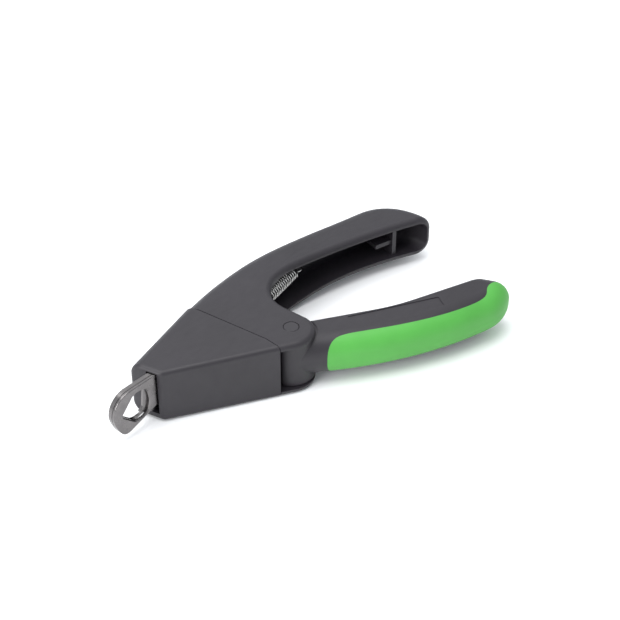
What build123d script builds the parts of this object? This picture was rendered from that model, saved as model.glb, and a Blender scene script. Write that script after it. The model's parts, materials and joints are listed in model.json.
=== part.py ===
"""Guillotine nail clipper for pets, lying on its side.

A fixed handle and a nose carry a steel ring that the claw goes through. A hinged lever
swings a steel arm, the arm pushes a carrier, and the carrier drives a flat blade past
the ring. Frame: origin on the lever's hinge axis at the table, +X from the nose to the
handle ends and parallel to the blade, +Z up along the hinge axis. Units: millimetres.
"""

from build123d import *
from math import radians, tan
import os

os.makedirs("parts", exist_ok=True)

# Body
BODY_HEIGHT = 23.2  # thickness of the head, along the hinge axis
MID_Z = BODY_HEIGHT - 10.7  # middle of the handles, the ring and the mechanism
HANDLE_HALF = 9.1  # half height of the fixed handle at its end
NOSE_X = -49.8  # front face of the nose
NOSE_DROP = 0.6  # how far the nose thins, above and below
END_X = 92.2  # end of the fixed handle
BACK_ROUND = 6.4  # rounding along the back of the head and the fixed handle
RIM_ROUND = 2.0  # rounding along the ears, the throat and the handle's mouth
HANDLE_WALL = 2.4
THROAT_WALL = 1.6
COVER_WALL = 1.5
NOSE_ROUND = 1.7  # rounding of the nose cover's front face and near side
CORNER_ROUND = 3.0  # upright corner between the two
SEAM_GAP = 0.12  # half of the shadow gap between the nose cover and the handle
EAR_THICKNESS = 2.2
EAR_CENTRE = (-1.15, 0.0)
EAR_RADIUS = 9.55
HEAD_FLOOR = 3.1
HEAD_CEILING = BODY_HEIGHT - HEAD_FLOOR

# Hinge and lever
PIN_RADIUS = 2.4
BUSH_RADIUS = 3.4
KNUCKLE_RADIUS = 8.8
KNUCKLE_BOTTOM = 2.6
KNUCKLE_TOP = BODY_HEIGHT - KNUCKLE_BOTTOM
RELIEF_RADIUS = 9.6  # the lever's shoulder stays outside the ears by this radius
CAP_RADIUS = 2.85
CAP_THICKNESS = 1.0
LEVER_BOTTOM = MID_Z - 8.5
LEVER_TOP = MID_Z + 8.5
LEVER_ROUND = 7.4
GRIP_THICKNESS = 1.6
LEVER_ANGLE = -30.5  # direction of the lever at rest, from +X

# Mechanism
BLADE_Y = 20.0  # plane of the blade and the ring
SWING = 29.0  # degrees that the lever closes through
STROKE = 2 * BLADE_Y * tan(radians(SWING / 2))  # travel of the blade
DRIVE_X = STROKE / 2  # the drive pin at rest
RUNNING = 0.05  # radial clearance of a running fit

ARM_ANGLE = 90 - SWING / 2  # direction of the drive arm at rest, from +X
ARM_THICKNESS = 3.0
ARM_HALF_WIDTH = 2.4
ARM_TIP_RADIUS = 3.4
DRIVE_PIN_RADIUS = 1.5
DRIVE_PIN_PLAY = 0.1
CARRIER_FRONT = -14.5
CARRIER_NEAR = 16.6
CARRIER_FAR = 21.5
CARRIER_BOTTOM = HEAD_FLOOR + 0.3
CARRIER_TOP = BODY_HEIGHT - CARRIER_BOTTOM
CHEEK_GAP = 4.6  # height of the gap that the drive arm swings in
HOOK_PIN = (10.4, 27.6)  # spring's end on the carrier
ANCHOR_PIN = (39.6, 33.4)  # spring's end in the handle
ANCHOR_TOP = BODY_HEIGHT - 1.9
ANCHOR_LENGTH = 11.0
SPRING_PIN_RADIUS = 0.9
WIRE_RADIUS = 0.28
COIL_RADIUS = 2.75
COIL_PITCH = 1.25
LOOP_RADIUS = 2.3  # of the spring's end loops, to the middle of the wire

# Ring and blade
RING_TIP_X = -69.3
RING_HALF = 8.8  # half height of the ring
RING_THICKNESS = 3.2
RING_REAR_X = -25.5
HOLE_BEVEL = 0.35
RIM_BEVEL = 0.4  # rounding of the ring's outer edges
RIM_GROOVE = 0.25
LAYER_Y = BLADE_Y - 0.45  # where the ring's two layers meet
POCKET_HALF = 7.45  # half height of the blade's pocket in the ring
BLADE_THICKNESS = 1.0
BLADE_HALF = 7.2  # half height of the blade's head
BLADE_SLOT = 1.14
LAND_X = -33.0  # behind this the ring's two layers join above and below the blade's tail
TAIL_HEIGHT = 6.6
SCREW_X = -29.3
SCREW_RISE = 5.4  # the ring's screws stand this far above and below the middle
SCREW_RADIUS = 1.25
INSERT_RADIUS = 1.8
TONGUE_NEAR = 21.6
TONGUE_FAR = 25.5
TONGUE_BOTTOM = 2.1

SIDE = Plane(origin=(0, 0, MID_Z), x_dir=(1, 0, 0), z_dir=(0, -1, 0))
MIDDLE = Plane.XY.offset(MID_Z)
HEAD_MIDDLE = Plane.XY.offset(BODY_HEIGHT / 2)


def seam_area(side, gap):
    """Plan area ahead of the cover's seam (side -1) or behind it (side 1), less gap."""
    far = 130 * side
    shift = gap * side
    with BuildSketch() as area:
        with BuildLine():
            Polyline(
                (far, 60),
                (-20.6 + shift, 60),
                (-15.2 + shift, 31),
                (-11.0 + shift, 2),
                (-11.4 + shift, -12),
                (far, -12),
                close=True,
            )
        make_face()
    return area.sketch


def back_area(inset=0.0):
    """Plan area in front of the back: nose, head and fixed handle with its round end."""
    with BuildSketch() as area:
        with BuildLine():
            flank = Line((NOSE_X - 14.7, 25.94), (-20.0, 37.0))
            hump = TangentArc(flank @ 1, (15.1, 41.7), tangent=flank % 1)
            back = TangentArc(hump @ 1, (56.0, 37.9), tangent=hump % 1)
            taper = Line(back @ 1, (back @ 1) + (back % 1) * 20.0)
            bend = TangentArc(taper @ 1, (END_X - 1.8, 21.0), tangent=taper % 1)
            end = TangentArc(bend @ 1, (END_X, 10.5), tangent=bend % 1)
            drop = Line(end @ 1, (end @ 1) + (end % 1) * 40)
            Polyline(drop @ 1, (NOSE_X - 14.7, -30.0), flank @ 0)
        make_face()
        if inset:
            offset(amount=-inset, kind=Kind.INTERSECTION)
    return area.sketch


def front_area(inset=0.0):
    """Plan area behind the front face of the nose."""
    with BuildSketch() as area:
        with BuildLine():
            Polyline((NOSE_X + 13.2, -30), (NOSE_X - 7.2, 45.9), (120, 60), (120, -60), close=True)
        make_face()
        if inset:
            offset(amount=-inset, kind=Kind.INTERSECTION)
    return area.sketch


def open_area(inset=0.0):
    """Plan area outside the near side: near wall, ears, throat and the handle's mouth."""
    with BuildSketch() as area:
        with BuildLine():
            ear = CenterArc(EAR_CENTRE, EAR_RADIUS, -119.7, 124.7)
            near_wall = Line(ear @ 0, (ear @ 0) - (ear % 0) * 75)
            cheek = Line(ear @ 1, (ear @ 1) + (ear % 1) * 9)
            throat = TangentArc(cheek @ 1, (18.5, 24.6), tangent=cheek % 1)
            bridge = TangentArc(throat @ 1, (30.0, 25.1), tangent=throat % 1)
            mouth = TangentArc(bridge @ 1, (84.0, 10.6), tangent=bridge % 1)
            run_out = Line(mouth @ 1, (mouth @ 1) + (mouth % 1) * 20)
            Polyline(run_out @ 1, (110, -60), (-80, -60), near_wall @ 1)
        make_face()
        if inset:
            offset(amount=inset, kind=Kind.ARC)
    return area.sketch


def side_area(nose_drop, inset=0.0):
    """The body seen from the side: it thins towards the nose and the handle's end."""
    with BuildSketch() as area:
        for way, height in ((1, BODY_HEIGHT - MID_Z), (-1, MID_Z)):
            half = height - inset
            end_level = way * (HANDLE_HALF - inset)
            with BuildLine():
                nose = Line((NOSE_X - 16, way * (half - nose_drop)), (-9, way * half))
                head = Line(nose @ 1, (14, way * half))
                sweep_up = Spline(
                    head @ 1, (42, end_level + way * 0.35), (END_X + 6, end_level),
                    tangents=[(1, 0), (1, 0)],
                )
                Polyline(sweep_up @ 1, (END_X + 6, 0), (NOSE_X - 16, 0), nose @ 0)
            make_face()
    return area.sketch


def level_edges(part, condition):
    """Edges near the top and the bottom of part whose centre meets condition."""
    far = [e for e in part.edges() if abs(e.center().Z - MID_Z) > MID_Z / 2]
    return [e for e in far if abs(e.tangent_at(0.5).Z) < 0.3 and condition(e.center())]


def lever_area(inset=0.0):
    """Plan area of the lever with its round end, run past the inner edge."""
    with BuildSketch() as area:
        with BuildLine():
            neck = TangentArc((-4.2, -7.4), (20.6, -26.2), tangent=(0.74, -0.68))
            belly = TangentArc(neck @ 1, (50.6, -40.3), tangent=neck % 1)
            outer = TangentArc(belly @ 1, (63.5, -43.9), tangent=belly % 1)
            bend = TangentArc(outer @ 1, (76.0, -42.0), tangent=outer % 1)
            end = TangentArc(bend @ 1, (78.2, -35.0), tangent=bend % 1)
            rise = Line(end @ 1, (end @ 1) + (end % 1) * 30)
            Polyline(rise @ 1, (0, 20), neck @ 0)
        make_face()
        if inset:
            offset(amount=-inset, kind=Kind.INTERSECTION)
    return area.sketch


def lever_inner_area():
    """Plan area beyond the lever's inner edge."""
    with BuildSketch() as area:
        with BuildLine():
            neck = Line((-10.0, 12.1), (30.0, -12.6))
            bend = TangentArc(neck @ 1, (45.5, -20.1), tangent=neck % 1)
            run_out = Line(bend @ 1, (bend @ 1) + (bend % 1) * 50)
            Polyline(run_out @ 1, (100, 40), (-10, 40), neck @ 0)
        make_face()
    return area.sketch


def grip_area():
    """Plan area that the soft grip covers."""
    with BuildSketch() as area:
        with BuildLine():
            front = Line((-1.0, -20.0), (3.6, -14.3))
            edge = Spline(
                front @ 1, (5.4, -13.7), (8.4, -13.6), (12.5, -15.2), (17.0, -18.05),
                (29.9, -26.2), (44.2, -33.5), (56.5, -38.0), (61.6, -39.1), (65.2, -38.8),
                (67.8, -37.1), (70.2, -36.3), (75.0, -36.6), (80.0, -36.8),
            )
            Polyline(edge @ 1, (84, -60), (0, -60), front @ 0)
        make_face()
    return area.sketch


def lever_block(inset=0.0):
    """The lever's outer shape, or what is left of it inside a skin."""
    with BuildPart() as block:
        with BuildSketch(Plane.XY.offset(LEVER_BOTTOM + inset)):
            add(lever_area(inset))
        extrude(amount=LEVER_TOP - LEVER_BOTTOM - 2 * inset)
        fillet(
            level_edges(block, lambda c: c.Y < -10 and c.X > -2), radius=LEVER_ROUND - inset
        )
    return block.part


# ---------------------------------------------------------------- nose cover
with BuildPart() as cover_hollow:
    with BuildSketch(Plane.XY.offset(COVER_WALL + 0.2)):
        add(back_area(COVER_WALL))
        add(front_area(COVER_WALL), mode=Mode.INTERSECT)
        add(open_area(COVER_WALL), mode=Mode.SUBTRACT)
        add(seam_area(-1, -5), mode=Mode.INTERSECT)
    extrude(amount=BODY_HEIGHT - 2 * COVER_WALL - 0.4)
    fillet(level_edges(cover_hollow, lambda c: c.Y > 28.5 and c.X < -20), radius=4.0)

with BuildPart() as nose_cover:
    with BuildSketch():
        add(back_area())
        add(open_area(), mode=Mode.SUBTRACT)
        add(seam_area(-1, SEAM_GAP), mode=Mode.INTERSECT)
    extrude(amount=BODY_HEIGHT)
    with BuildSketch(SIDE):
        add(side_area(NOSE_DROP))
    extrude(amount=60, both=True, mode=Mode.INTERSECT)
    fillet(level_edges(nose_cover, lambda c: c.Y > 27 and c.X < -24), radius=5.0)
    with BuildSketch():
        add(front_area())
    extrude(amount=BODY_HEIGHT, mode=Mode.INTERSECT)
    front = nose_cover.faces().sort_by(Axis.X)[0]
    fillet(front.edges().sort_by(Axis.Y)[0], radius=CORNER_ROUND)
    front = nose_cover.faces().sort_by(Axis.X)[0]
    near_edge = level_edges(nose_cover, lambda c: c.Y < 18 and -49 < c.X < -20)
    fillet(front.edges() + near_edge, radius=NOSE_ROUND)
    add(cover_hollow.part, mode=Mode.SUBTRACT)
    with BuildSketch(SIDE.offset(-BLADE_Y)):
        with Locations((NOSE_X, 0)):
            Rectangle(12, 2 * RING_HALF + 0.6)
    extrude(amount=RING_THICKNESS / 2 + 0.5, both=True, mode=Mode.SUBTRACT)
nose_cover.part.label = "nose_cover"
export_step(nose_cover.part, "parts/nose_cover.step")

# ---------------------------------------------------------------- handle body
with BuildPart() as channel:  # hollow of the fixed handle, open at its mouth
    with BuildSketch():
        add(back_area(HANDLE_WALL))
        with Locations((20, -50)):
            Rectangle(120, 160, align=(Align.MIN, Align.MIN), mode=Mode.INTERSECT)
    extrude(amount=BODY_HEIGHT)
    with BuildSketch(SIDE):
        add(side_area(0.0, HANDLE_WALL + 0.1))
    extrude(amount=60, both=True, mode=Mode.INTERSECT)
    fillet(level_edges(channel, lambda c: c.Y > 5 and c.X > 22), radius=BACK_ROUND - HANDLE_WALL)

with BuildPart() as head_hollow:  # hollow of the head, open to the cover and between the ears
    with BuildSketch(Plane.XY.offset(HEAD_FLOOR)):
        add(back_area(HANDLE_WALL + 0.6))
        add(open_area(THROAT_WALL), mode=Mode.SUBTRACT)
        with Locations((4, 15.5)):  # the throat is open behind the cheeks
            Rectangle(18, 15, align=(Align.MIN, Align.MIN))
        with Locations((22, 0)):
            Rectangle(100, 100, align=(Align.MAX, Align.CENTER), mode=Mode.INTERSECT)
        with Locations((-40, -14)):
            Rectangle(55, 20, align=(Align.MIN, Align.MIN))
    extrude(amount=HEAD_CEILING - HEAD_FLOOR)
    with BuildSketch(Plane.XY.offset(EAR_THICKNESS)):  # room for the knuckle and its washers
        with Locations((-11.6, -14)):
            Rectangle(22, 24, align=(Align.MIN, Align.MIN))
    extrude(amount=BODY_HEIGHT - 2 * EAR_THICKNESS)

with BuildPart() as handle_body:
    with BuildSketch():
        add(back_area())
        add(seam_area(1, SEAM_GAP), mode=Mode.INTERSECT)
    extrude(amount=BODY_HEIGHT)
    with BuildSketch(SIDE):
        add(side_area(0.0))
    extrude(amount=60, both=True, mode=Mode.INTERSECT)
    fillet(level_edges(handle_body, lambda c: c.Y > 5 and c.X > -10), radius=BACK_ROUND)
    with BuildSketch():
        add(open_area())
    extrude(amount=BODY_HEIGHT, mode=Mode.SUBTRACT)
    fillet(level_edges(handle_body, lambda c: c.X > -9 and c.Y < 25), radius=RIM_ROUND)
    # lip that the cover snaps over
    with BuildSketch(Plane.XY.offset(COVER_WALL + 0.35)):
        add(back_area(COVER_WALL + 3.7))
        add(open_area(COVER_WALL + 0.6), mode=Mode.SUBTRACT)
        add(seam_area(-1, -2), mode=Mode.INTERSECT)
        add(seam_area(1, -4), mode=Mode.INTERSECT)
    extrude(amount=BODY_HEIGHT - 2 * COVER_WALL - 0.7)
    add(head_hollow.part, mode=Mode.SUBTRACT)
    add(channel.part, mode=Mode.SUBTRACT)
    # tongue that carries the ring, and the bulkhead that joins it to the head
    with BuildSketch(Plane.XY.offset(TONGUE_BOTTOM)):
        with Locations((-33.5, TONGUE_NEAR)):
            Rectangle(25, TONGUE_FAR - TONGUE_NEAR, align=(Align.MIN, Align.MIN))
        with Locations((-11, TONGUE_NEAR)):
            Rectangle(2.5, 15.5, align=(Align.MIN, Align.MIN))
    extrude(amount=BODY_HEIGHT - 2 * TONGUE_BOTTOM)
    # rails on the floor and the ceiling that guide the carrier
    for level in (HEAD_FLOOR - 0.2, HEAD_CEILING - 1.5):
        with BuildSketch(Plane.XY.offset(level)):
            with Locations((-10.5, 15.0)):
                Rectangle(15, 1.4, align=(Align.MIN, Align.MIN))
        extrude(amount=1.7)
    # seats of the threaded inserts
    with BuildSketch(SIDE.offset(-TONGUE_NEAR + 1)):
        with Locations((SCREW_X, SCREW_RISE), (SCREW_X, -SCREW_RISE)):
            Circle(INSERT_RADIUS + 0.02)
    extrude(amount=-8, mode=Mode.SUBTRACT)
    # rib across the mouth, with a web behind it
    with BuildSketch(MIDDLE):
        with Locations(Location((77.0, 15.0), -15)):
            Rectangle(1.8, 13.6, align=(Align.CENTER, Align.MIN))
    extrude(amount=HANDLE_HALF - 1, both=True)
    with BuildSketch(MIDDLE):
        with Locations(Location((77.0, 16.0), -15)):
            Rectangle(8.0, 13.5, align=(Align.MAX, Align.MIN))
    extrude(amount=0.9, both=True)
    # bores of the spring's anchor pin, the hinge pin and its caps
    with BuildSketch(Plane.XY.offset(ANCHOR_TOP)):
        with Locations(ANCHOR_PIN):
            Circle(SPRING_PIN_RADIUS + 0.02)
    extrude(amount=-ANCHOR_LENGTH, mode=Mode.SUBTRACT)
    with BuildSketch():
        Circle(PIN_RADIUS + RUNNING)
    extrude(amount=BODY_HEIGHT, mode=Mode.SUBTRACT)
    for level in (0, BODY_HEIGHT - CAP_THICKNESS):
        with BuildSketch(Plane.XY.offset(level)):
            Circle(CAP_RADIUS + 0.12)
        extrude(amount=CAP_THICKNESS, mode=Mode.SUBTRACT)
handle_body.part.label = "handle_body"
export_step(handle_body.part, "parts/handle_body.step")

# ---------------------------------------------------------------- soft grip
with BuildPart() as soft_grip:
    add(lever_block())
    add(lever_block(GRIP_THICKNESS), mode=Mode.SUBTRACT)
    with BuildSketch():
        add(grip_area())
        add(lever_inner_area(), mode=Mode.SUBTRACT)
    extrude(amount=BODY_HEIGHT, mode=Mode.INTERSECT)
soft_grip.part.label = "soft_grip"
export_step(soft_grip.part, "parts/soft_grip.step")

# ---------------------------------------------------------------- lever
with BuildPart() as lever:
    add(lever_block())
    with BuildSketch():
        add(lever_inner_area())
    extrude(amount=BODY_HEIGHT, mode=Mode.SUBTRACT)
    fillet(level_edges(lever, lambda c: c.X > 10 and c.Y > -36), radius=RIM_ROUND)
    # shoulder cut clear of the ears, and the knuckle that stands between them
    for level in (0, KNUCKLE_TOP):
        with BuildSketch(Plane.XY.offset(level)):
            Circle(RELIEF_RADIUS)
        extrude(amount=KNUCKLE_BOTTOM, mode=Mode.SUBTRACT)
    with BuildSketch(Plane.XY.offset(KNUCKLE_BOTTOM)):
        Circle(KNUCKLE_RADIUS)
        with Locations((-8.2, 0)):
            Rectangle(40, 40, align=(Align.MIN, Align.CENTER), mode=Mode.INTERSECT)
    extrude(amount=KNUCKLE_TOP - KNUCKLE_BOTTOM)
    # seat of the soft grip
    add(soft_grip.part, mode=Mode.SUBTRACT)
    # channel along the inner edge, crossed by ribs
    with BuildSketch(Plane.XY.offset(LEVER_BOTTOM + HANDLE_WALL)):
        with BuildLine():
            Polyline(
                (25.0, -15.5), (35.0, -22.0), (50.0, -28.8), (64.0, -34.4), (70.0, -34.0),
                (70.0, -10.0), (25.0, 0.0),
                close=True,
            )
        make_face()
        for x, y in ((36.0, -18.0), (48.0, -24.0), (60.0, -29.0)):
            with Locations(Location((x, y), LEVER_ANGLE)):
                Rectangle(1.6, 30, mode=Mode.SUBTRACT)
    extrude(amount=LEVER_TOP - LEVER_BOTTOM - 2 * HANDLE_WALL, mode=Mode.SUBTRACT)
    # shallow blank panel on the upper side
    with BuildSketch(Plane.XY.offset(LEVER_TOP - 0.25)):
        with Locations(Location((34.6, -20.4), -28.7)):
            RectangleRounded(36, 5.4, 0.5)
    extrude(amount=1, mode=Mode.SUBTRACT)
    # seats of the bush and of the drive arm
    with BuildSketch():
        Circle(BUSH_RADIUS)
    extrude(amount=BODY_HEIGHT, mode=Mode.SUBTRACT)
    with BuildSketch(MIDDLE):
        Circle(6.3)
        with Locations(Location((0, 0), ARM_ANGLE)):
            Rectangle(30, 2 * ARM_HALF_WIDTH + 0.1, align=(Align.MIN, Align.CENTER))
        with Locations(Location((0, 0), LEVER_ANGLE)):
            Rectangle(23.1, 7.1, align=(Align.MIN, Align.CENTER))
    extrude(amount=ARM_THICKNESS / 2, both=True, mode=Mode.SUBTRACT)
lever.part.label = "lever"
export_step(lever.part, "parts/lever.step")

# ---------------------------------------------------------------- drive arm
with BuildPart() as drive_arm:
    with BuildSketch(MIDDLE):
        Circle(6.2)
        with Locations(Location((0, 0), ARM_ANGLE)):
            Rectangle(20.9, 2 * ARM_HALF_WIDTH, align=(Align.MIN, Align.CENTER))
            with Locations((20.9, 0)):
                Circle(ARM_TIP_RADIUS)
        with Locations(Location((0, 0), LEVER_ANGLE)):
            Rectangle(23.0, 7.0, align=(Align.MIN, Align.CENTER))
        Circle(BUSH_RADIUS, mode=Mode.SUBTRACT)
        with Locations(Location((0, 0), ARM_ANGLE)):
            with Locations((BLADE_Y + 0.33, 0)):
                slot_radius = DRIVE_PIN_RADIUS + DRIVE_PIN_PLAY
                SlotCenterToCenter(1.1, 2 * slot_radius, mode=Mode.SUBTRACT)
    extrude(amount=ARM_THICKNESS / 2, both=True)
drive_arm.part.label = "drive_arm"
export_step(drive_arm.part, "parts/drive_arm.step")

# ---------------------------------------------------------------- hinge
with BuildPart() as pivot_bush:
    with BuildSketch(Plane.XY.offset(KNUCKLE_BOTTOM)):
        Circle(BUSH_RADIUS)
        Circle(PIN_RADIUS + RUNNING, mode=Mode.SUBTRACT)
    extrude(amount=KNUCKLE_TOP - KNUCKLE_BOTTOM)
pivot_bush.part.label = "pivot_bush"
export_step(pivot_bush.part, "parts/pivot_bush.step")

with BuildPart() as pivot_pin:
    with BuildSketch(Plane.XY.offset(CAP_THICKNESS)):
        Circle(PIN_RADIUS)
    extrude(amount=BODY_HEIGHT - 2 * CAP_THICKNESS)
    chamfer(pivot_pin.edges(), length=0.3)
pivot_pin.part.label = "pivot_pin"
export_step(pivot_pin.part, "parts/pivot_pin.step")

with BuildPart() as pivot_cap_top:
    with BuildSketch(Plane.XY.offset(BODY_HEIGHT - CAP_THICKNESS)):
        Circle(CAP_RADIUS)
    extrude(amount=CAP_THICKNESS)
    chamfer(pivot_cap_top.edges().group_by(Axis.Z)[-1], length=0.2)
pivot_cap_top.part.label = "pivot_cap_top"
export_step(pivot_cap_top.part, "parts/pivot_cap_top.step")

with BuildPart() as pivot_cap_bottom:
    mirror(pivot_cap_top.part, about=HEAD_MIDDLE)
pivot_cap_bottom.part.label = "pivot_cap_bottom"
export_step(pivot_cap_bottom.part, "parts/pivot_cap_bottom.step")

with BuildPart() as thrust_washer_bottom:
    with BuildSketch(Plane.XY.offset(EAR_THICKNESS)):
        Circle(6.5)
        Circle(PIN_RADIUS + RUNNING, mode=Mode.SUBTRACT)
    extrude(amount=KNUCKLE_BOTTOM - EAR_THICKNESS - 0.06)
thrust_washer_bottom.part.label = "thrust_washer_bottom"
export_step(thrust_washer_bottom.part, "parts/thrust_washer_bottom.step")

with BuildPart() as thrust_washer_top:
    mirror(thrust_washer_bottom.part, about=HEAD_MIDDLE)
thrust_washer_top.part.label = "thrust_washer_top"
export_step(thrust_washer_top.part, "parts/thrust_washer_top.step")

# ---------------------------------------------------------------- ring
def claw_hole(grow=0.0):
    """Teardrop that the claw goes through, in the blade's plane."""
    with BuildSketch() as hole:
        for x, z, radius in (
            (-64.1, -0.2, 1.2), (-58.4, 3.0, 3.2), (-58.6, -2.7, 3.2),
            (-56.9, 2.6, 3.5), (-57.0, -2.4, 3.5), (-57.8, 0.0, 4.8),
        ):
            with Locations((x, z)):
                Circle(radius + grow)
        make_hull()
    return hole.sketch


def ring_area(inset=0.0):
    """The ring and its flat tail, in the blade's plane."""
    with BuildSketch() as area:
        with BuildLine():
            crest = Line((RING_REAR_X, RING_HALF), (-61.5, RING_HALF))
            brow = TangentArc(crest @ 1, (RING_TIP_X, -0.6), tangent=crest % 1)
            chin = TangentArc(brow @ 1, (-66.3, -7.6), tangent=brow % 1)
            jaw = TangentArc(chin @ 1, (-62.5, -8.85), tangent=chin % 1)
            throat = Line(jaw @ 1, (jaw @ 1) + (jaw % 1) * 14)
            Polyline(throat @ 1, (RING_REAR_X, (throat @ 1).Y), crest @ 0)
        make_face()
        if inset:
            offset(amount=-inset, kind=Kind.INTERSECTION)
    return area.sketch


with BuildPart() as ring_holder:
    with BuildSketch(SIDE.offset(-BLADE_Y)):
        add(ring_area())
    extrude(amount=RING_THICKNESS / 2, both=True)
    rim = ring_holder.faces().filter_by(Axis.Y).edges().filter_by(
        lambda e: e.center().X < RING_REAR_X - 0.5
    )
    fillet(rim, radius=RIM_BEVEL)
    # fine groove round the rim, where the two layers meet
    with BuildSketch(SIDE.offset(-LAYER_Y)):
        add(ring_area(-1.0))
        add(ring_area(RIM_GROOVE), mode=Mode.SUBTRACT)
    extrude(amount=RIM_GROOVE / 2, both=True, mode=Mode.SUBTRACT)
    with BuildSketch(SIDE.offset(-BLADE_Y)):
        with Locations((SCREW_X, SCREW_RISE), (SCREW_X, -SCREW_RISE)):
            Circle(SCREW_RADIUS + 0.1)
    extrude(amount=RING_THICKNESS, both=True, mode=Mode.SUBTRACT)
    with BuildSketch(SIDE.offset(-BLADE_Y)):
        add(claw_hole())
    extrude(amount=RING_THICKNESS, both=True, mode=Mode.SUBTRACT)
    # bevel of the hole on both faces
    for face_y, inward in ((BLADE_Y - RING_THICKNESS / 2, -1), (BLADE_Y + RING_THICKNESS / 2, 1)):
        with BuildSketch(SIDE.offset(-face_y)):
            add(claw_hole(HOLE_BEVEL))
        extrude(amount=HOLE_BEVEL * inward, taper=45, mode=Mode.SUBTRACT)
    with BuildSketch(SIDE.offset(-BLADE_Y)):  # pocket between the two layers, which the blade fills
        with Locations((-61.0, 0)):
            Circle(7.6)
        with Locations((-61.0, 0)):
            Rectangle(LAND_X + 61.0, 2 * POCKET_HALF, align=(Align.MIN, Align.CENTER))
        with Locations((LAND_X - 1, 0)):
            Rectangle(20, TAIL_HEIGHT + 0.3, align=(Align.MIN, Align.CENTER))
    extrude(amount=BLADE_SLOT / 2, both=True, mode=Mode.SUBTRACT)
ring_holder.part.label = "ring_holder"
export_step(ring_holder.part, "parts/ring_holder.step")

SCREW_SEAT = SIDE.offset(-BLADE_Y + RING_THICKNESS / 2)
with BuildPart() as ring_screws:
    with BuildSketch(SCREW_SEAT):
        with Locations((SCREW_X, SCREW_RISE), (SCREW_X, -SCREW_RISE)):
            Circle(1.9)
    extrude(amount=1.4)
    fillet(ring_screws.edges().group_by(Axis.Y)[0], radius=0.5)
    with BuildSketch(SCREW_SEAT):
        with Locations((SCREW_X, SCREW_RISE), (SCREW_X, -SCREW_RISE)):
            Circle(SCREW_RADIUS)
    extrude(amount=-6.6)
    with BuildSketch(SCREW_SEAT.offset(0.7)):
        for angle in (45, 135):
            with Locations((SCREW_X, SCREW_RISE), (SCREW_X, -SCREW_RISE)):
                Rectangle(2.6, 0.5, rotation=angle)
    extrude(amount=2, mode=Mode.SUBTRACT)
ring_screws.part.label = "ring_screws"
export_step(ring_screws.part, "parts/ring_screws.step")

with BuildPart() as threaded_inserts:
    with BuildSketch(SIDE.offset(-TONGUE_NEAR - 0.05)):
        with Locations((SCREW_X, SCREW_RISE), (SCREW_X, -SCREW_RISE)):
            Circle(INSERT_RADIUS)
            Circle(SCREW_RADIUS + 0.03, mode=Mode.SUBTRACT)
    extrude(amount=-3.6)
threaded_inserts.part.label = "threaded_inserts"
export_step(threaded_inserts.part, "parts/threaded_inserts.step")

# ---------------------------------------------------------------- blade
with BuildPart() as blade:
    with BuildSketch(SIDE.offset(-BLADE_Y)):
        with BuildLine():
            edge = ThreePointArc((-54.2, 6.3), (-55.0, 1.2), (-55.4, -2.6))
            Polyline(
                edge @ 1, (-57.0, -3.9), (-56.0, -4.7), (-54.0, -6.3), (-51.5, -BLADE_HALF),
                (-36, -BLADE_HALF), (-36, -TAIL_HEIGHT / 2), (-8.6, -TAIL_HEIGHT / 2),
                (-8.6, TAIL_HEIGHT / 2), (-36, TAIL_HEIGHT / 2), (-36, BLADE_HALF),
                (-52.5, BLADE_HALF), edge @ 0,
            )
        make_face()
        with Locations((-12.6, 0), (-9.9, 0)):
            Circle(0.82, mode=Mode.SUBTRACT)
    extrude(amount=BLADE_THICKNESS / 2, both=True)
blade.part.label = "blade"
export_step(blade.part, "parts/blade.step")

# ---------------------------------------------------------------- carrier
with BuildPart() as blade_carrier:
    with BuildSketch(Plane.XY.offset(CARRIER_BOTTOM)):
        with Locations((CARRIER_FRONT, CARRIER_NEAR)):
            Rectangle(
                DRIVE_X - CARRIER_FRONT - 2.0, CARRIER_FAR - CARRIER_NEAR, align=(Align.MIN, Align.MIN)
            )
    extrude(amount=CARRIER_TOP - CARRIER_BOTTOM)
    with BuildSketch(Plane.XY.offset(CARRIER_BOTTOM)):
        with Locations((DRIVE_X, BLADE_Y)):
            Circle(2.8)
        with Locations(HOOK_PIN):
            Circle(1.9)
        make_hull()
        with Locations((DRIVE_X, BLADE_Y)):
            Circle(DRIVE_PIN_RADIUS, mode=Mode.SUBTRACT)
        with Locations(HOOK_PIN):
            Circle(SPRING_PIN_RADIUS, mode=Mode.SUBTRACT)
    extrude(amount=CARRIER_TOP - CARRIER_BOTTOM)
    with BuildSketch(MIDDLE):
        with Locations((-0.8, 10)):
            Rectangle(30, 30, align=(Align.MIN, Align.MIN))
    extrude(amount=CHEEK_GAP / 2, both=True, mode=Mode.SUBTRACT)
    with BuildSketch(SIDE.offset(-BLADE_Y)):
        with Locations((CARRIER_FRONT, 0)):
            Rectangle(6.2, TAIL_HEIGHT + 0.1, align=(Align.MIN, Align.CENTER))
    extrude(amount=BLADE_THICKNESS / 2 + 0.02, both=True, mode=Mode.SUBTRACT)
    with BuildSketch(SIDE.offset(-BLADE_Y)):
        with Locations((-12.6, 0), (-9.9, 0)):
            Circle(0.82)
    extrude(amount=10, both=True, mode=Mode.SUBTRACT)
blade_carrier.part.label = "blade_carrier"
export_step(blade_carrier.part, "parts/blade_carrier.step")

with BuildPart() as blade_rivets:
    with BuildSketch(SIDE.offset(-CARRIER_NEAR)):
        with Locations((-12.6, 0), (-9.9, 0)):
            Circle(0.8)
    extrude(amount=CARRIER_NEAR - CARRIER_FAR)
    with BuildSketch(SIDE.offset(-CARRIER_NEAR)):
        with Locations((-12.6, 0), (-9.9, 0)):
            Circle(1.3)
    extrude(amount=0.5)
    fillet(blade_rivets.edges().group_by(Axis.Y)[0], radius=0.35)
blade_rivets.part.label = "blade_rivets"
export_step(blade_rivets.part, "parts/blade_rivets.step")

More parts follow.
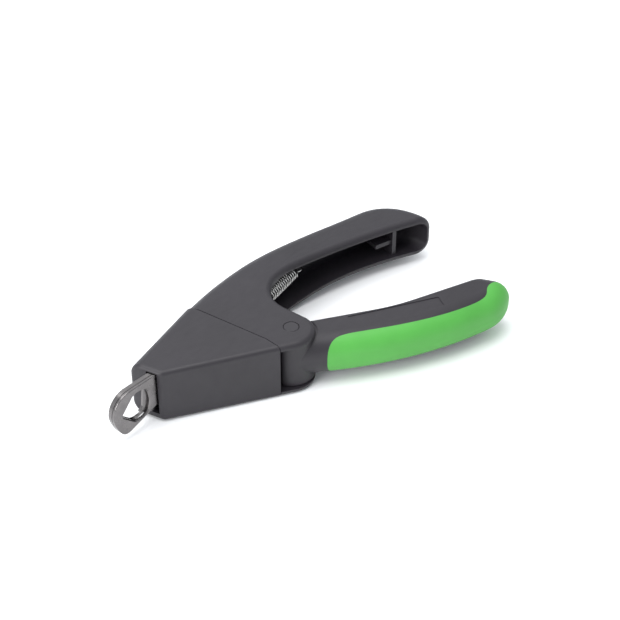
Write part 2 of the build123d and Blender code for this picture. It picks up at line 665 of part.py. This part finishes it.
with BuildPart() as drive_pin:
    with BuildSketch(Plane.XY.offset(CARRIER_BOTTOM)):
        with Locations((DRIVE_X, BLADE_Y)):
            Circle(DRIVE_PIN_RADIUS)
    extrude(amount=CARRIER_TOP - CARRIER_BOTTOM)
drive_pin.part.label = "drive_pin"
export_step(drive_pin.part, "parts/drive_pin.step")

with BuildPart() as spring_hook_pin:
    with BuildSketch(Plane.XY.offset(CARRIER_BOTTOM)):
        with Locations(HOOK_PIN):
            Circle(SPRING_PIN_RADIUS)
    extrude(amount=CARRIER_TOP - CARRIER_BOTTOM)
spring_hook_pin.part.label = "spring_hook_pin"
export_step(spring_hook_pin.part, "parts/spring_hook_pin.step")

with BuildPart() as spring_anchor_pin:
    with BuildSketch(Plane.XY.offset(ANCHOR_TOP)):
        with Locations(ANCHOR_PIN):
            Circle(SPRING_PIN_RADIUS)
    extrude(amount=-ANCHOR_LENGTH)
spring_anchor_pin.part.label = "spring_anchor_pin"
export_step(spring_anchor_pin.part, "parts/spring_anchor_pin.step")

# ---------------------------------------------------------------- return spring
hook_point = Vector(HOOK_PIN[0], HOOK_PIN[1], MID_Z)
anchor_point = Vector(ANCHOR_PIN[0], ANCHOR_PIN[1], MID_Z)
spring_axis = (anchor_point - hook_point).normalized()
# distance from a pin to the middle of the end loop that hangs on it
loop_shift = LOOP_RADIUS - WIRE_RADIUS - SPRING_PIN_RADIUS - 0.03
coil_start = hook_point + spring_axis * (loop_shift + LOOP_RADIUS + 1.0)
coil_end = anchor_point - spring_axis * (loop_shift + LOOP_RADIUS + 1.0)
coil_turns = round((coil_end - coil_start).length / COIL_PITCH)
coil_pitch = (coil_end - coil_start).length / coil_turns
with BuildPart() as return_spring:
    with BuildLine() as coil:
        Helix(coil_pitch, coil_pitch * coil_turns, COIL_RADIUS, coil_start, spring_axis)
    with BuildSketch(Plane(origin=coil.line @ 0, z_dir=coil.line % 0)):
        Circle(WIRE_RADIUS)
    sweep(path=coil.line, is_frenet=True)
    # end loops, lying flat round the two upright pins
    for pin, sense in ((hook_point, 1), (anchor_point, -1)):
        inward = spring_axis * sense
        across = inward.cross(Vector(0, 0, 1))
        centre = pin + inward * loop_shift
        end = 0 if sense > 0 else 1
        with BuildLine() as loop:
            arc = ThreePointArc(
                centre + inward * 1.6 + across * 1.65,
                centre - inward * LOOP_RADIUS,
                centre + inward * 1.6 - across * 1.65,
            )
            Spline(
                arc @ 1, coil.line @ end, tangents=[arc % 1, (coil.line % end) * sense]
            )
        with BuildSketch(Plane(origin=loop.line @ 0, z_dir=loop.line % 0)):
            Circle(WIRE_RADIUS)
        sweep(path=loop.line)
return_spring.part.label = "return_spring"
export_step(return_spring.part, "parts/return_spring.step")
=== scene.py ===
import json
import math

import bpy
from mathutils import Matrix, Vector


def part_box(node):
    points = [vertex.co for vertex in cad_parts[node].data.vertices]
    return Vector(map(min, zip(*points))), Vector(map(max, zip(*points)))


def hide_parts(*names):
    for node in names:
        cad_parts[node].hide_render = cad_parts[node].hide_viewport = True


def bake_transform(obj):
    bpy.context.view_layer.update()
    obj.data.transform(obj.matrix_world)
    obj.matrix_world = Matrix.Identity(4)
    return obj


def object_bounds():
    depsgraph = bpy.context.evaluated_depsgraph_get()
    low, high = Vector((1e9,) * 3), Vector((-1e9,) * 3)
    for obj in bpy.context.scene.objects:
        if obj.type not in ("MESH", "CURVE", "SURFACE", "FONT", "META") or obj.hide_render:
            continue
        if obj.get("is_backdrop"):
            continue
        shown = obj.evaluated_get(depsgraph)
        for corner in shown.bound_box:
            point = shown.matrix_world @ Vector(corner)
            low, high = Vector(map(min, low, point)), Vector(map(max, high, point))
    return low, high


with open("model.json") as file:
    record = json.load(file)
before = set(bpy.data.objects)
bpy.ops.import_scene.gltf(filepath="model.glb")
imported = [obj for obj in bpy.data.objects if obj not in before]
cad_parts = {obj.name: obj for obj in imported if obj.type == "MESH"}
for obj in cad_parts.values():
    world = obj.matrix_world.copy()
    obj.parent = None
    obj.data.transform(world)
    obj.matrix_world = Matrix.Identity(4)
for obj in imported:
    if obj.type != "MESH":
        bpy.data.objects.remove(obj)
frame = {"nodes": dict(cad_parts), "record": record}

LOW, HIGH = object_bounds()
UP = Vector((0, 0, 1))


# ------------------------------------------------------------------ materials
def new_material(name):
    """A node material with its tree, its shader and the object's own coordinates."""
    mat = bpy.data.materials.new(name)
    mat.use_nodes = True
    tree = mat.node_tree
    shader = tree.nodes["Principled BSDF"]
    place = tree.nodes.new("ShaderNodeTexCoord")
    return mat, tree, shader, place.outputs["Object"]


def noise(tree, coords, scale, detail=2.0, roughness=0.5, stretch=None):
    """Noise over the object's own coordinates, stretched when asked."""
    node = tree.nodes.new("ShaderNodeTexNoise")
    node.inputs["Scale"].default_value = scale
    node.inputs["Detail"].default_value = detail
    node.inputs["Roughness"].default_value = roughness
    if stretch:
        mapping = tree.nodes.new("ShaderNodeMapping")
        mapping.inputs["Scale"].default_value = stretch
        tree.links.new(coords, mapping.inputs["Vector"])
        coords = mapping.outputs["Vector"]
    tree.links.new(coords, node.inputs["Vector"])
    return node.outputs["Fac"]


def spread(tree, value, low, high, out_low, out_high):
    """Maps value from low..high to out_low..out_high."""
    node = tree.nodes.new("ShaderNodeMapRange")
    tree.links.new(value, node.inputs["Value"])
    for key, number in (
        ("From Min", low),
        ("From Max", high),
        ("To Min", out_low),
        ("To Max", out_high),
    ):
        node.inputs[key].default_value = number
    return node.outputs["Result"]


def blend_colour(tree, factor, first, second):
    """Mixes two colours, each a tuple or a socket, by factor."""
    node = tree.nodes.new("ShaderNodeMix")
    node.data_type = "RGBA"
    tree.links.new(factor, node.inputs["Factor"])
    for socket, colour in ((node.inputs["A"], first), (node.inputs["B"], second)):
        if isinstance(colour, tuple):
            socket.default_value = (*colour, 1.0)
        else:
            tree.links.new(colour, socket)
    return node.outputs["Result"]


def bump(tree, heights):
    """Chains bumps from (height, strength, distance) and returns the last normal."""
    normal = None
    for height, strength, distance in heights:
        node = tree.nodes.new("ShaderNodeBump")
        node.inputs["Strength"].default_value = strength
        node.inputs["Distance"].default_value = distance
        tree.links.new(height, node.inputs["Height"])
        if normal:
            tree.links.new(normal, node.inputs["Normal"])
        normal = node.outputs["Normal"]
    return normal


def moulded(name, dark, light, rough, grain=0.35, specular=0.42):
    """Moulded plastic: fine spark texture, soft mottling, faint handling marks."""
    mat, tree, shader, coords = new_material(name)
    mottle = noise(tree, coords, 38.0, 4.0, 0.6)
    speck = noise(tree, coords, 5200.0, 2.0, 0.6)
    rub = noise(tree, coords, 160.0, 6.0, 0.65, (1.0, 2.2, 1.0))
    scratch = noise(tree, coords, 900.0, 2.0, 0.5, (0.08, 1.0, 1.0))
    tone = blend_colour(tree, spread(tree, mottle, 0.35, 0.65, 0, 1), dark, light)
    tone = blend_colour(
        tree,
        spread(tree, speck, 0.55, 0.75, 0, 0.35),
        tone,
        tuple(min(1.0, c * 1.6) for c in light),
    )
    tree.links.new(tone, shader.inputs["Base Color"])
    tree.links.new(
        spread(tree, rub, 0.3, 0.7, rough - 0.06, rough + 0.07),
        shader.inputs["Roughness"],
    )
    normal = bump(tree, [(speck, grain, 0.00004), (scratch, 0.05, 0.00002)])
    tree.links.new(normal, shader.inputs["Normal"])
    shader.inputs["Specular IOR Level"].default_value = specular
    return mat


def soft_rubber(name, dark, light):
    """Soft over-moulding: fine matte grain, slight cloudiness."""
    mat, tree, shader, coords = new_material(name)
    cloud = noise(tree, coords, 60.0, 3.0, 0.55)
    grain = noise(tree, coords, 4200.0, 2.0, 0.7)
    dust = noise(tree, coords, 420.0, 5.0, 0.7)
    tone = blend_colour(tree, spread(tree, cloud, 0.3, 0.7, 0, 1), dark, light)
    tone = blend_colour(
        tree,
        spread(tree, dust, 0.66, 0.8, 0, 0.25),
        tone,
        tuple(min(1.0, c * 1.25 + 0.02) for c in light),
    )
    tree.links.new(tone, shader.inputs["Base Color"])
    tree.links.new(
        spread(tree, grain, 0.3, 0.7, 0.46, 0.6), shader.inputs["Roughness"]
    )
    tree.links.new(
        bump(tree, [(grain, 0.3, 0.00004), (cloud, 0.08, 0.0003)]),
        shader.inputs["Normal"],
    )
    return mat


def metal(name, dark, light, rough, grain=0.12):
    """Metal with a fine grain, worn tone and small pits."""
    mat, tree, shader, coords = new_material(name)
    fine = noise(tree, coords, 2600.0, 3.0, 0.6)
    stain = noise(tree, coords, 140.0, 5.0, 0.6)
    pit = noise(tree, coords, 3200.0, 2.0, 0.6)
    tone = blend_colour(tree, spread(tree, stain, 0.3, 0.7, 0, 1), dark, light)
    tree.links.new(tone, shader.inputs["Base Color"])
    tree.links.new(
        spread(tree, stain, 0.3, 0.7, rough + 0.05, rough - 0.04),
        shader.inputs["Roughness"],
    )
    tree.links.new(
        bump(tree, [(fine, grain, 0.00002), (pit, 0.08, 0.00002)]),
        shader.inputs["Normal"],
    )
    shader.inputs["Metallic"].default_value = 1.0
    return mat


SHELL = moulded("shell_plastic", (0.0165, 0.0145, 0.018), (0.020, 0.0175, 0.022), 0.46)
CAP = moulded("cap_plastic", (0.018, 0.016, 0.0195), (0.0215, 0.019, 0.0235), 0.4, 0.2)
INNER = moulded("carrier_plastic", (0.62, 0.61, 0.56), (0.70, 0.69, 0.64), 0.4, 0.2)
GRIP = soft_rubber("grip_rubber", (0.058, 0.30, 0.040), (0.068, 0.34, 0.048))
RING = metal("bright_steel", (0.145, 0.138, 0.138), (0.19, 0.18, 0.18), 0.26)
PLAIN = metal("plain_steel", (0.14, 0.135, 0.13), (0.18, 0.175, 0.17), 0.36)
WIRE = metal("spring_steel", (0.72, 0.71, 0.69), (0.82, 0.81, 0.79), 0.2, grain=0.05)
BLACK = metal("dark_steel", (0.035, 0.034, 0.036), (0.055, 0.053, 0.055), 0.42)
BRASS = metal("insert_brass", (0.52, 0.38, 0.14), (0.62, 0.47, 0.2), 0.3)

FINISH = {
    "shell_plastic": SHELL,
    "cap_plastic": CAP,
    "carrier_plastic": INNER,
    "grip_rubber": GRIP,
    "bright_steel": RING,
    "plain_steel": PLAIN,
    "spring_steel": WIRE,
    "dark_steel": BLACK,
    "insert_brass": BRASS,
}
for part in frame["record"]["subparts"]:
    mesh = frame["nodes"][part["node"]].data
    mesh.materials.clear()
    mesh.materials.append(FINISH[part["material_slot"]])


# ------------------------------------------------------------------ return spring
def tube(name, line, radius, sides, material):
    """A closed mesh tube of that radius along a line of points."""
    verts, faces = [], []
    side = UP
    for i, point in enumerate(line):
        ahead = line[min(i + 1, len(line) - 1)] - line[max(i - 1, 0)]
        ahead.normalize()
        side = (side - ahead * side.dot(ahead)).normalized()
        up = ahead.cross(side)
        for k in range(sides):
            a = 2 * math.pi * k / sides
            verts.append(point + side * (radius * math.cos(a)) + up * (radius * math.sin(a)))
    for i in range(len(line) - 1):
        for k in range(sides):
            a, b = i * sides + k, i * sides + (k + 1) % sides
            faces.append((a, b, b + sides, a + sides))
    faces.append(tuple(reversed(range(sides))))
    faces.append(tuple(range((len(line) - 1) * sides, len(line) * sides)))
    mesh = bpy.data.meshes.new(name)
    mesh.from_pydata(verts, [], faces)
    mesh.polygons.foreach_set("use_smooth", [True] * len(mesh.polygons))
    mesh.update()
    obj = bpy.data.objects.new(name, mesh)
    bpy.context.scene.collection.objects.link(obj)
    mesh.materials.append(material)
    return obj


def centre(node):
    """Middle of the node's box."""
    low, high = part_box(node)
    return (low + high) / 2


WIRE_R = 0.00028
WIRE_SIDES = 10
PIN_R = 0.0009
LOOP_R = 0.0023  # of the end loops, to the middle of the wire
PIN_PLAY = 0.00003
COIL_LEAD = 0.0010  # from an end loop to the first turn
COIL_PITCH = 0.00125
COIL_STEPS = 28  # points in a turn
LOOP_STEPS = 40
LOOP_OPENING = 46  # degrees left open on each side of an end loop
BRIDGE_STEPS = 10
BRIDGE_PULL = 0.004  # how strongly a bridge keeps the direction at its ends

hook, anchor = centre("spring_hook_pin"), centre("spring_anchor_pin")
anchor.z = hook.z
axis = (anchor - hook).normalized()
across = axis.cross(UP)


def loop_line(pin, inward):
    """End loop round a pin, from one side of its opening round the back to the other."""
    points = []
    middle = pin + inward * loop_shift
    for i in range(LOOP_STEPS + 1):
        a = math.radians(LOOP_OPENING + (360 - 2 * LOOP_OPENING) * i / LOOP_STEPS)
        points.append(middle + inward * (LOOP_R * math.cos(a)) + across * (LOOP_R * math.sin(a)))
    return points


def coil_line(first, last, radius):
    """The turns of the coil from first to last."""
    points = []
    turns = round((last - first).length / COIL_PITCH)
    steps = turns * COIL_STEPS
    for i in range(steps + 1):
        a = 2 * math.pi * turns * i / steps
        middle = first + (last - first) * (i / steps)
        points.append(middle + across * (radius * math.cos(a)) + UP * (radius * math.sin(a)))
    return points


def bridge(before, after):
    """Smooth curve from the end of one line to the start of the next, ends left out."""
    leave = (before[-1] - before[-2]).normalized() * BRIDGE_PULL
    arrive = (after[1] - after[0]).normalized() * BRIDGE_PULL
    points = []
    for i in range(1, BRIDGE_STEPS):
        t = i / BRIDGE_STEPS
        start, start_pull = 2 * t**3 - 3 * t**2 + 1, t**3 - 2 * t**2 + t
        end, end_pull = 3 * t**2 - 2 * t**3, t**3 - t**2
        points.append(
            before[-1] * start + leave * start_pull + after[0] * end + arrive * end_pull
        )
    return points


low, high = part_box("return_spring")
coil_radius = (high.z - low.z) / 2 - WIRE_R
loop_shift = LOOP_R - WIRE_R - PIN_R - PIN_PLAY
coil_gap = loop_shift + LOOP_R + COIL_LEAD
start_loop = loop_line(hook, axis)
coil = coil_line(hook + axis * coil_gap, anchor - axis * coil_gap, coil_radius)
end_loop = loop_line(anchor, -axis)
end_loop.reverse()
spring = tube(
    "spring_wire",
    start_loop + bridge(start_loop, coil) + coil + bridge(coil, end_loop) + end_loop,
    WIRE_R,
    WIRE_SIDES,
    WIRE,
)
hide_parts("return_spring")
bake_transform(spring)

# ------------------------------------------------------------------ stage
bpy.ops.mesh.primitive_plane_add(size=6.0, location=(0, 0, LOW.z))
floor = bpy.context.active_object
floor.name = "floor"
mat, tree, shader, coords = new_material("floor_paper")
shade = noise(tree, coords, 3.0, 2.0)
tree.links.new(
    blend_colour(
        tree, spread(tree, shade, 0.3, 0.7, 0, 1), (0.90, 0.905, 0.91), (0.91, 0.915, 0.92)
    ),
    shader.inputs["Base Color"],
)
shader.inputs["Roughness"].default_value = 0.9
shader.inputs["Specular IOR Level"].default_value = 0.1
floor.data.materials.append(mat)
floor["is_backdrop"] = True

world = bpy.data.worlds.new("studio")
bpy.context.scene.world = world
world.use_nodes = True
world.node_tree.nodes["Background"].inputs["Color"].default_value = (0.93, 0.96, 1.0, 1.0)
world.node_tree.nodes["Background"].inputs["Strength"].default_value = 0.8


def softbox(name, location, target, size, power):
    """A white rectangular light that faces target; size in metres, power in watts."""
    light = bpy.data.lights.new(name, "AREA")
    light.shape = "RECTANGLE"
    light.size, light.size_y = size
    light.energy = power
    obj = bpy.data.objects.new(name, light)
    obj.location = location
    obj.rotation_euler = (Vector(target) - Vector(location)).to_track_quat("-Z", "Y").to_euler()
    bpy.context.scene.collection.objects.link(obj)


softbox("key", (0.25, 0.55, 0.65), (0.02, 0.0, 0.0), (0.9, 0.6), 1.2)
softbox("overhead", (-0.15, 0.1, 0.9), (0.02, 0.0, 0.0), (0.8, 0.8), 8.5)
softbox("left", (-0.7, 0.1, 0.35), (0.0, 0.0, 0.01), (0.5, 0.4), 4.0)

# ------------------------------------------------------------------ camera
TARGET = Vector((0.0219, 0.0106, 0.0125))
AZIMUTH, ELEVATION, DISTANCE = math.radians(-48.0), math.radians(38.0), 0.5503
back = Vector(
    (
        math.sin(AZIMUTH) * math.cos(ELEVATION),
        -math.cos(AZIMUTH) * math.cos(ELEVATION),
        math.sin(ELEVATION),
    )
)
camera = bpy.data.objects.new("camera", bpy.data.cameras.new("camera"))
camera.data.lens = 85.0
camera.data.sensor_width = 36.0
camera.location = TARGET + back * DISTANCE
camera.rotation_mode = "QUATERNION"
camera.rotation_quaternion = (-back).to_track_quat("-Z", "Y")
camera.data.clip_start = 0.01
bpy.context.scene.collection.objects.link(camera)
bpy.context.scene.camera = camera
bpy.context.scene.view_settings.view_transform = "Standard"

low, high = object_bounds()
